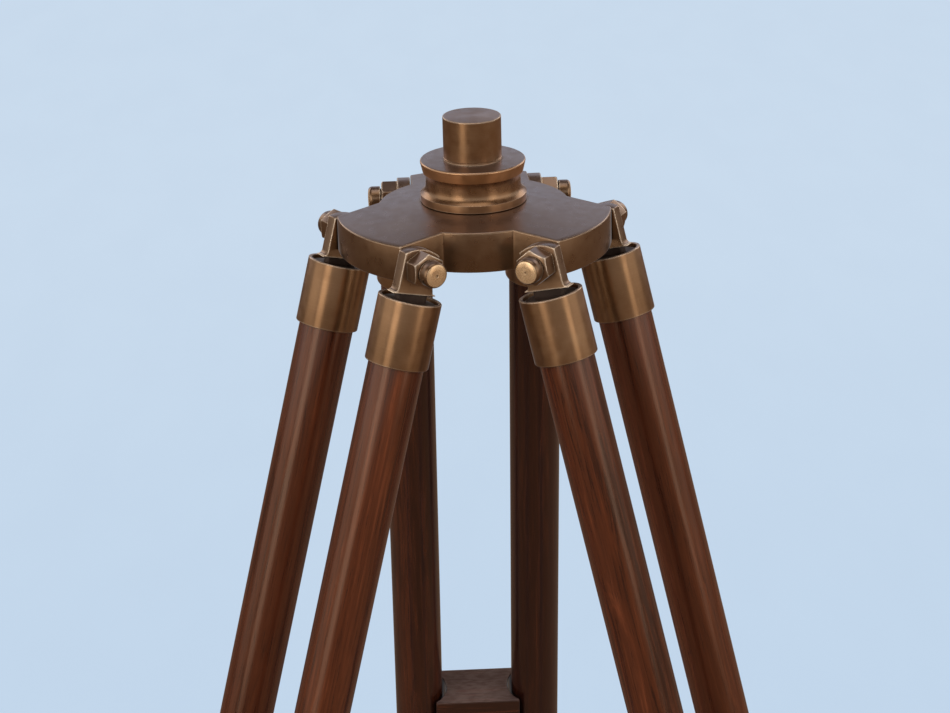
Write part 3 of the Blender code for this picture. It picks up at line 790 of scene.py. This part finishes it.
def cap_nut_mesh(length, bore):
    """Cap nut along Z: hexagon, dark groove and a flat-ended button with a centre pit."""
    nut = hexagon_nut(NUT_FLATS, 0.0, NUT_THICKNESS, 0.0)
    crown = NUT_THICKNESS + GROOVE
    neck = DOME_RADIUS - 1.2 * MM
    corners = [(0.0, length - 0.85 * MM, 0.0), (0.4 * MM, length - 0.7 * MM, 0.15 * MM)]
    corners += [(0.7 * MM, length - 0.02 * MM, 0.12 * MM), (3.0 * MM, length - 0.1 * MM, 4.0 * MM)]
    corners += [(DOME_RADIUS, length - 0.5 * MM, DOME_EDGE), (DOME_RADIUS, crown, 0.35 * MM)]
    corners += [(neck, crown, 0.0), (neck, NUT_THICKNESS / 2, 0.0), (0.0, NUT_THICKNESS / 2, 0.0)]
    nut = combine(nut, turned(soften(corners, steps=6), POLE_STEPS), "UNION")
    nut = combine(nut, rod_between(bore, -MM, NUT_BORE_DEPTH), "DIFFERENCE")
    for face in nut.polygons:
        at_end = face.center.z > length - 1.4 * MM and face.center.xy.length < DOME_FACE
        face.material_index = 1 if at_end else 0
    return nut


def ear_outline(apex):
    """The ear seen along the rod: flared foot, straight sides and a shallow arched top."""
    rise = apex - EAR_CORNER
    arch_radius = (EAR_HALF_WIDTH**2 + rise**2) / (2 * rise)
    half_angle = math.asin(EAR_HALF_WIDTH / arch_radius)
    flare = EAR_FOOT_HALF_WIDTH - EAR_HALF_WIDTH
    foot = arc(EAR_FOOT_HALF_WIDTH, -EAR_FOOT + FOOT_LIP + flare, flare, -QUARTER, -2 * QUARTER, 6)
    corners = [(-EAR_FOOT_HALF_WIDTH, -EAR_FOOT, 0.15 * MM), (EAR_FOOT_HALF_WIDTH, -EAR_FOOT, 0.15 * MM)]
    corners += [(x, y, 0.0) for x, y in foot]
    top = arc(0.0, apex - arch_radius, arch_radius, QUARTER - half_angle, QUARTER + half_angle, 14)
    corners += [(x, y, 0.7 * MM if abs(x) > EAR_HALF_WIDTH - 0.01 * MM else 0.0) for x, y in top]
    corners += [(-x, y, 0.0) for x, y in reversed(foot)]
    return soften(corners, closed=True)


def lug_mesh(apex, plug_bottom, plug_radius, hole_radius):
    """The ear, the plug that the ferrule grips, and the stud that goes down into the pole."""
    ear = prism(ear_outline(apex), -EAR_THICKNESS / 2, EAR_THICKNESS / 2, EAR_EDGE)
    ear = moved(ear, turn_about("X", QUARTER))
    outline = [(NECK_HALF_WIDTH, side * NECK_THICKNESS / 2, 1.6 * MM) for side in (-1, 1)]
    outline += [(-x, -y, edge) for x, y, edge in outline]
    neck = prism(soften(outline, closed=True), -PLUG_TOP - MM, -EAR_FOOT + MM, 0.1 * MM)
    corners = [(0.0, -PLUG_TOP, 0.0), (plug_radius, -PLUG_TOP, 0.6 * MM)]
    corners += [(plug_radius, plug_bottom, 0.0), (STUD_RADIUS, plug_bottom, 0.0)]
    corners.append((STUD_RADIUS, plug_bottom - STUD_LENGTH, 0.5 * MM))
    corners.append((0.0, plug_bottom - STUD_LENGTH, 0.0))
    lug = combine(combine(ear, neck, "UNION"), turned(soften(corners), POLE_STEPS), "UNION")
    hole = moved(rod_between(hole_radius, -EAR_THICKNESS, EAR_THICKNESS), turn_about("X", QUARTER))
    lug = combine(lug, hole, "DIFFERENCE")
    # Faces below the ear's foot take the second finish, near-black brass that paints the shade under the
    # ear.
    for face in lug.polygons:
        face.material_index = 1 if face.center.z < -EAR_FOOT - 0.1 * MM else 0
    return lug


def ferrule_mesh(radius, bore, bottom, top):
    """A short tube with softly rounded rims."""
    edge = 0.45 * MM
    corners = [(bore, top, edge), (radius, top, edge), (radius, bottom, edge), (bore, bottom, edge)]
    return turned(soften(corners, closed=True), POLE_STEPS + 24, ring=True)


def upper_pole_mesh(radius, bottom, top):
    """A round pole, bored at the top for the lug's stud."""
    bore = STUD_RADIUS + GAP
    floor = top - STUD_LENGTH - MM
    corners = [(0.0, floor, 0.0), (bore, floor, 0.0), (bore, top, 0.0), (radius, top, 0.5 * MM)]
    for share in range(1, 8):
        corners.append((radius, top + (bottom - top) * share / 8, 0.0))
    corners += [(radius, bottom, 0.8 * MM), (0.0, bottom, 0.0)]
    return turned(soften(corners), POLE_STEPS)


def build_upper_leg(leg, tones):
    """Everything that swings with the leg, and the rod and cap nuts it swings on."""
    lobe, swing, body = lobe_place(leg), leg_place(leg), f"leg_{leg}"
    rod_low, rod_high = measured(f"{leg}_pivot_rod", lobe)
    hole = rod_high.x + GAP
    end = 0.5 * MM
    corners = [(0.0, rod_high.y, 0.0), (rod_high.x, rod_high.y, end)]
    corners += [(rod_high.x, rod_low.y, end), (0.0, rod_low.y, 0.0)]
    rod = turned(soften(corners), SMALL_STEPS)
    upright = turn_about("X", -QUARTER)
    place_piece(f"{leg}_pivot_rod", rod, lobe @ upright, "head", ["turned_brass"])
    for label, side in SIDES:
        low, high = measured(f"{leg}_cap_nut_{label}", lobe)
        seat = (low.y if side > 0 else high.y) - side * (GAP - SNUG)
        nut = cap_nut_mesh(high.y - low.y + GAP - SNUG, hole)
        turn = turn_about("X", -side * QUARTER) @ turn_about("Z", math.radians(30.0 + NUT_TURN[leg]))
        place = lobe @ shifted(0.0, seat, 0.0) @ turn
        finishes = ["brushed_brass", "polished_brass"]
        place_piece(f"{leg}_cap_nut_{label}", nut, place, "head", finishes)

        low, high = measured(f"{leg}_ferrule_{label}", swing)
        axis_place = swing @ shifted(0.0, (low.y + high.y) / 2, 0.0)
        pole_low, pole_high = measured(f"{leg}_upper_pole_{label}", swing)
        pole_radius = pole_high.x
        ferrule = ferrule_mesh(high.x, pole_radius + GAP, low.z, high.z)
        finishes = ["turned_brass"]
        place_piece(f"{leg}_ferrule_{label}", ferrule, axis_place, body, finishes)
        apex = measured(f"{leg}_lug_{label}", swing)[1].z
        lug = lug_mesh(apex, pole_high.z + GAP, pole_radius, hole)
        # The neck and plug below the ear are near-black brass: painted shade.
        finishes = ["brushed_brass", "sooty_brass"]
        place_piece(f"{leg}_lug_{label}", lug, axis_place, body, finishes)
        pole = upper_pole_mesh(pole_radius, pole_low.z, pole_high.z)
        tone, figure = tones[label]
        place_piece(f"{leg}_upper_pole_{label}", pole, axis_place, body, ["pole_wood"],
                    tone, figure)


def block_with_bites(half_depth, half_width, bite_offset, bite_radius, height):
    """The carriage block seen from above: a rectangle whose ends are hollowed round the poles."""
    half_angle = math.acos((bite_offset - half_width) / bite_radius)
    lips = bite_radius * math.sin(half_angle)
    corners = [(half_depth, -half_width, BLOCK_EDGE), (half_depth, half_width, BLOCK_EDGE)]
    corners.append((lips, half_width, BLOCK_EDGE))
    bite = arc(0.0, bite_offset, bite_radius, -QUARTER + half_angle, -QUARTER - half_angle, 12)
    corners += [(x, y, 0.0) for x, y in bite[1:-1]]
    corners.append((-lips, half_width, BLOCK_EDGE))
    corners += [(-half_depth, half_width, BLOCK_EDGE), (-half_depth, -half_width, BLOCK_EDGE)]
    corners.append((-lips, -half_width, BLOCK_EDGE))
    corners += [(-x, -y, 0.0) for x, y in bite[1:-1]]
    corners.append((lips, -half_width, BLOCK_EDGE))
    return prism(soften(corners, closed=True), -height, 0.0, 0.8 * MM)


def build_slider(leg):
    """The carriage block, the lower pole below it and its brass shoe."""
    swing, body = leg_place(leg), f"slider_{leg}"
    low, high = measured(f"{leg}_carriage_block", swing)
    place = swing @ shifted(0.0, 0.0, high.z)
    pole_low, pole_high = measured(f"{leg}_upper_pole_b", swing)
    offset, radius = (pole_low.y + pole_high.y) / 2, pole_high.x
    height = high.z - low.z
    block = block_with_bites(high.x, high.y, offset, radius + BLOCK_CLEARANCE, height)
    mortise = rod_between(TENON_RADIUS + GAP, -height - MM, -height + TENON_LENGTH + GAP)
    block = combine(block, mortise, "DIFFERENCE")
    # The carriage block's tone of -0.15 gives it a darker stain that also serves as painted shade on its
    # dim front.
    place_piece(f"{leg}_carriage_block", block, place, body, ["block_wood"], -0.15, 2.0)

    low, high = measured(f"{leg}_lower_pole", place)
    shoulder = -height - GAP
    corners = [(0.0, high.z, 0.0), (TENON_RADIUS, high.z, 0.6 * MM), (TENON_RADIUS, shoulder, 0.0)]
    corners.append((radius, shoulder, 0.8 * MM))
    for share in range(1, 8):
        corners.append((radius, shoulder + (low.z - shoulder) * share / 8, 0.0))
    corners += [(radius, low.z, 0.6 * MM), (0.0, low.z, 0.0)]
    pole = turned(soften(corners), POLE_STEPS)
    place_piece(f"{leg}_lower_pole", pole, place, body, ["pole_wood"], 0.01)
    shoe_low, shoe_high = measured(f"{leg}_foot_shoe", place)
    shoe = foot_shoe_mesh(shoe_high.x, radius + GAP, low.z - GAP, shoe_low.z, shoe_high.z)
    place_piece(f"{leg}_foot_shoe", shoe, place, body, ["turned_brass"])


def foot_shoe_mesh(radius, bore, floor, bottom, top):
    """A sleeve with two turned grooves, a taper and a round nose."""
    tip_centre = bottom + FOOT_RADIUS
    groove = 0.35 * MM
    corners = [(0.0, floor, 0.0), (bore, floor, 0.0), (bore, top, 0.3 * MM), (radius, top, 0.45 * MM)]
    for drop in (4.0 * MM, 6.5 * MM):
        corners += [(radius, top - drop, 0.1 * MM), (radius - groove, top - drop - groove, 0.15 * MM)]
        corners.append((radius, top - drop - 2 * groove, 0.1 * MM))
    corners.append((radius, floor, 3.0 * MM))
    profile = soften(corners)
    profile += [(max(x, 0.0), y) for x, y in arc(0.0, tip_centre, FOOT_RADIUS, 0.0, -QUARTER, 8)]
    return turned(profile, POLE_STEPS)


def clamp_block_mesh(end_radius, offset, pole_radius, height):
    """Lower block: sockets for the twin poles and a way through for the lower pole."""
    outline = arc(0.0, offset, end_radius, 0.0, 2 * QUARTER, 32)
    outline += arc(0.0, -offset, end_radius, 2 * QUARTER, 4 * QUARTER, 32)
    block = prism(outline, -height, 0.0, 1.4 * MM)
    bore = pole_radius + GAP
    for side in (-1, 1):
        socket = rod_between(bore, -SOCKET_DEPTH, MM, POLE_STEPS)
        socket = moved(socket, shifted(0.0, side * offset, 0.0))
        block = combine(block, socket, "DIFFERENCE")
    block = combine(block, rod_between(bore, -height - MM, MM, POLE_STEPS), "DIFFERENCE")
    hole = rod_between(BUSH_RADIUS + GAP, 0.0, end_radius + MM)
    place = shifted(0.0, 0.0, -height / 2) @ turn_about("Y", QUARTER)
    return combine(block, moved(hole, place), "DIFFERENCE")


def build_clamp(leg):
    """The clamp block with its bush and knurled thumb screw."""
    swing, body = leg_place(leg), f"leg_{leg}"
    low, high = measured(f"{leg}_clamp_block", swing)
    pole_low, pole_high = measured(f"{leg}_upper_pole_b", swing)
    offset, pole_radius = (pole_low.y + pole_high.y) / 2, pole_high.x
    height = high.z - low.z
    block = clamp_block_mesh(high.x, offset, pole_radius, height)
    place = swing @ shifted(0.0, 0.0, high.z)
    place_piece(f"{leg}_clamp_block", block, place, body, ["block_wood"], 0.02)

    outward = swing @ shifted(0.0, 0.0, (low.z + high.z) / 2) @ turn_about("Y", QUARTER)
    bush_low, bush_high = measured(f"{leg}_screw_bush", outward)
    face = high.x + GAP
    corners = [(SCREW_RADIUS + GAP, bush_high.z, 0.2 * MM), (bush_high.x, bush_high.z, 0.5 * MM)]
    corners += [(bush_high.x, face, 0.0), (BUSH_RADIUS, face, 0.0), (BUSH_RADIUS, bush_low.z, 0.0)]
    corners.append((SCREW_RADIUS + GAP, bush_low.z, 0.0))
    bush = turned(soften(corners, closed=True), POLE_STEPS, ring=True)
    place_piece(f"{leg}_screw_bush", bush, outward, body, ["turned_brass"])
    screw_low, screw_high = measured(f"{leg}_thumb_screw", outward)
    screw = thumb_screw_mesh(screw_high.x, bush_high.z + KNOB_STANDOFF, screw_low.z, screw_high.z)
    place_piece(f"{leg}_thumb_screw", screw, outward, f"screw_{leg}", ["turned_brass"])


def thumb_screw_mesh(radius, under, end, top):
    """Knurled knob on a neck, and the plain screw that presses on the lower pole."""
    face = top - 0.6 * MM
    grip_low, grip_high = under + 5.2 * MM, face - 1.2 * MM

    def knurl(angle, reach, height):
        if reach < radius - 0.01 * MM or not grip_low - 0.01 * MM <= height <= grip_high + 0.01 * MM:
            return 0.0
        return -KNURL_DEPTH * (0.5 - 0.5 * math.cos(KNURL_COUNT * angle))

    corners = [(0.0, top - 0.8 * MM, 0.0), (radius * 0.42, top - 0.7 * MM, 1.0 * MM)]
    corners += [(radius * 0.55, top, 0.8 * MM), (radius - 1.6 * MM, face, 1.0 * MM)]
    corners += [(radius - 0.3 * MM, grip_high + 0.5 * MM, 0.3 * MM), (radius, grip_high, 0.0)]
    corners += [(radius, grip_low, 0.0), (radius - 0.3 * MM, grip_low - 0.5 * MM, 0.3 * MM)]
    corners.append((radius - 1.3 * MM, under + 4.0 * MM, 0.5 * MM))
    corners += [(radius * 0.5, under + 3.2 * MM, 1.2 * MM), (radius * 0.5, under, 0.4 * MM)]
    corners += [(SCREW_RADIUS, under, 0.0), (SCREW_RADIUS, end, 0.4 * MM), (0.0, end, 0.0)]
    return turned(soften(corners), KNURL_COUNT * 6, flute=knurl)


# ---------------------------------------------------------------- studio

FLOOR_RADIUS = 14.0
FLOOR_CLEARANCE = 50 * MM
FLOOR_GLOW = 0.88
FLOOR_NEAR = (0.540, 0.680, 0.845)
FLOOR_FAR = (0.630, 0.760, 0.910)
FLOOR_THREAD = (0.450, 0.560, 0.720)
FLOOR_MIRRORED_LEFT = (0.160, 0.107, 0.075)
FLOOR_MIRRORED_RIGHT = (0.228, 0.154, 0.106)
FLOOR_MIRRORED_SPAN = 2.5
SOFT_FILL = (0.24, 0.235, 0.23)
SOFTBOX_TINT = (1.0, 0.97, 0.93)
AIM = Vector((0.0, 0.0, -0.1))
LENS_MM = 104.544
SENSOR_WIDTH_MM = 36.0
CAMERA_POINT = Vector((-0.0012, -1.2225, 0.3425))
CAMERA_PITCH = math.radians(20.65)
CAMERA_ROLL = math.radians(-1.43)
STAND_TURN = math.radians(2.14)


def add_camera():
    """A long lens that looks down on the head, moved round the stand by its small turn."""
    data = bpy.data.cameras.new("camera")
    data.sensor_width = SENSOR_WIDTH_MM
    data.lens = LENS_MM
    data.clip_start = 0.01
    camera = bpy.data.objects.new("camera", data)
    bpy.context.scene.collection.objects.link(camera)
    ahead = Vector((0.0, math.cos(CAMERA_PITCH), -math.sin(CAMERA_PITCH)))
    level = Vector((1.0, 0.0, 0.0))
    above = level.cross(ahead)
    right = level * math.cos(CAMERA_ROLL) + above * math.sin(CAMERA_ROLL)
    up = above * math.cos(CAMERA_ROLL) - level * math.sin(CAMERA_ROLL)
    place = axes_matrix(CAMERA_POINT, right, up, -ahead)
    camera.matrix_world = turn_about("Z", -STAND_TURN) @ place
    bpy.context.scene.camera = camera


def add_softbox(name, point, width, height, power, mirrored=True, flagged=None):
    """A large soft light aimed at the head; one that isn't mirrored lights matt surfaces only.

    A flagged piece stands in the shadow of a studio flag and gets none of this light.
    """
    data = bpy.data.lights.new(name, "AREA")
    data.shape = "RECTANGLE"
    data.size, data.size_y = width, height
    data.energy = power
    data.color = SOFTBOX_TINT
    light = bpy.data.objects.new(name, data)
    bpy.context.scene.collection.objects.link(light)
    light.visible_glossy = mirrored
    if flagged:
        lit = bpy.data.collections.new(f"{name}_flag")
        lit.objects.link(bpy.data.objects[flagged])
        lit.collection_objects[0].light_linking.link_state = "EXCLUDE"
        light.light_linking.receiver_collection = lit
    light.location = point
    light.rotation_mode = "QUATERNION"
    light.rotation_quaternion = (AIM - Vector(point)).to_track_quat("-Z", "Y")


# Name, place, width, height, watts, and what is special about each softbox.
SOFTBOXES = (
    ("left_strip", (-1.12, -1.38, 0.39), 0.70, 1.7, 5.6, {}),
    ("left_panel", (-1.80, -0.45, 0.39), 1.3, 1.7, 3.4, {"flagged": "spigot_fine"}),
    ("right_strip", (1.25, -1.28, 0.39), 0.55, 1.7, 3.7, {"flagged": "spigot_fine"}),
    ("right_panel", (1.80, -0.45, 0.39), 1.2, 1.7, 2.4, {"flagged": "spigot_fine"}),
    ("rear_left_panel", (-1.3, 1.5, 0.7), 0.9, 1.2, 4.0, {}),
    ("rear_right_panel", (1.3, 1.5, 0.7), 0.9, 1.2, 4.0, {}),
    ("left_key", (-1.5, -1.1, 0.9), 1.0, 1.0, 22.0, {"mirrored": False}),
    ("right_key", (1.6, -0.9, 0.8), 1.0, 1.0, 14.0, {"mirrored": False}),
    ("rear_key", (0.0, 1.8, 1.2), 1.4, 1.0, 12.0, {"mirrored": False}),
    ("overhead", (0.0, -0.2, 2.0), 1.6, 1.6, 8.0, {}),
)


def add_lights():
    for name, point, width, height, power, special in SOFTBOXES:
        add_softbox(name, point, width, height, power, **special)


# What polished metal mirrors, from straight down (0) to straight up (1).
MIRRORED_BANDS = (
    (0.000, (0.225, 0.155, 0.110)),
    (0.505, (0.240, 0.180, 0.140)),
    (0.550, (0.600, 0.660, 0.770)),
    (0.720, (0.640, 0.710, 0.840)),
    (0.780, (0.180, 0.135, 0.110)),
    (1.000, (0.120, 0.090, 0.075)),
)


def add_world():
    """Pale surroundings for the camera; mirrored, a pale band above the horizon in a dim room."""
    world = bpy.data.worlds.new("studio")
    bpy.context.scene.world = world
    world.use_nodes = True
    tree = world.node_tree
    nodes, links = tree.nodes, tree.links
    shown = nodes["Background"]
    shown.inputs["Color"].default_value = (*BACKDROP, 1.0)
    mirrored = nodes.new("ShaderNodeBackground")
    ramp = nodes.new("ShaderNodeValToRGB")
    while len(ramp.color_ramp.elements) < len(MIRRORED_BANDS):
        ramp.color_ramp.elements.new(1.0)
    for element, (height, tint) in zip(ramp.color_ramp.elements, MIRRORED_BANDS):
        element.position = height
        element.color = (*tint, 1.0)
    direction = nodes.new("ShaderNodeTexCoord").outputs["Generated"]
    split = nodes.new("ShaderNodeSeparateXYZ")
    links.new(direction, split.inputs[0])
    level = nodes.new("ShaderNodeMapRange")
    level.inputs["From Min"].default_value = -1.0
    links.new(split.outputs["Z"], level.inputs["Value"])
    links.new(level.outputs[0], ramp.inputs["Fac"])
    links.new(ramp.outputs["Color"], mirrored.inputs["Color"])
    fill = nodes.new("ShaderNodeBackground")
    fill.inputs["Color"].default_value = (*SOFT_FILL, 1.0)
    lit = nodes.new("ShaderNodeMixShader")
    links.new(ray_share(tree, "Is Camera Ray"), lit.inputs["Fac"])
    links.new(fill.outputs[0], lit.inputs[1])
    links.new(shown.outputs[0], lit.inputs[2])
    chosen = nodes.new("ShaderNodeMixShader")
    links.new(ray_share(tree, "Is Glossy Ray"), chosen.inputs["Fac"])
    links.new(lit.outputs[0], chosen.inputs[1])
    links.new(mirrored.outputs[0], chosen.inputs[2])
    links.new(chosen.outputs[0], nodes["World Output"].inputs["Surface"])


def add_floor():
    """A plain pale floor, low enough to hide no foot when the legs are folded and drawn out.

    In reflections it shows as a dim warm floor, as a studio's does.
    """
    form = bmesh.new()
    bmesh.ops.create_circle(form, cap_ends=True, segments=64, radius=FLOOR_RADIUS)
    floor = bpy.data.objects.new("floor", mesh_from(form, "floor"))
    bpy.context.scene.collection.objects.link(floor)
    reach = max(JOINTS[f"slide_{leg}"]["range_m"][1] for leg in LEGS)
    floor.location.z = CAD_BOX[0].z - reach - FLOOR_CLEARANCE
    shader = Shader("floor")
    weave = shader.noise(shader.stretch(shader.place, 9.0, 3.5, 9.0), 1.0, detail=5.0)
    away = shader.add("VectorMath", {0: shader.place}, operation="LENGTH").outputs["Value"]
    base = shader.mix(shader.remap(away, 0.8, 4.0), FLOOR_NEAR, FLOOR_FAR)
    base = shader.mix(shader.remap(weave, 0.3, 0.7, 0.0, 0.05), base, FLOOR_THREAD)
    shader.finish(Base_Color=base, Roughness=0.95, Specular_IOR_Level=0.0)
    glow = shader.add("Emission", {"Color": base, "Strength": 1.02})
    even = shader.add("MixShader", {0: FLOOR_GLOW, 1: shader.surface.outputs[0], 2: glow.outputs[0]})
    again = shader.maths("GREATER_THAN", ray_share(shader.tree, "Glossy Depth"), 1.5)
    across = shader.add("SeparateXYZ", {0: shader.place}).outputs["X"]
    side = shader.remap(across, -FLOOR_MIRRORED_SPAN, FLOOR_MIRRORED_SPAN)
    mirrored = shader.mix(side, FLOOR_MIRRORED_LEFT, FLOOR_MIRRORED_RIGHT)
    dim = shader.add("Emission", {"Color": shader.mix(again, mirrored, FLOOR_NEAR)})
    glossy = ray_share(shader.tree, "Is Glossy Ray")
    chosen = shader.add("MixShader", {0: glossy, 1: even.outputs[0], 2: dim.outputs[0]})
    shader.plug(shader.tree.nodes["Material Output"].inputs["Surface"], chosen.outputs[0])
    floor.data.materials.append(shader.material)


# How light each upper pole's stain is, and how strongly its grain shows; the rear leg's poles are darker
# as painted shade, standing behind the front legs.
TONES = {
    "rear": {"a": (-0.12, 0.9), "b": (-0.10, 1.0)},
    "left": {"a": (0.0, 1.1), "b": (0.03, 1.4)},
    "right": {"a": (-0.06, 1.8), "b": (0.04, 1.0)},
}

build_head()
for leg_name in LEGS:
    build_upper_leg(leg_name, TONES[leg_name])
    build_clamp(leg_name)
    build_slider(leg_name)

add_camera()
add_lights()
add_world()
add_floor()
bpy.context.scene.view_settings.view_transform = "Standard"
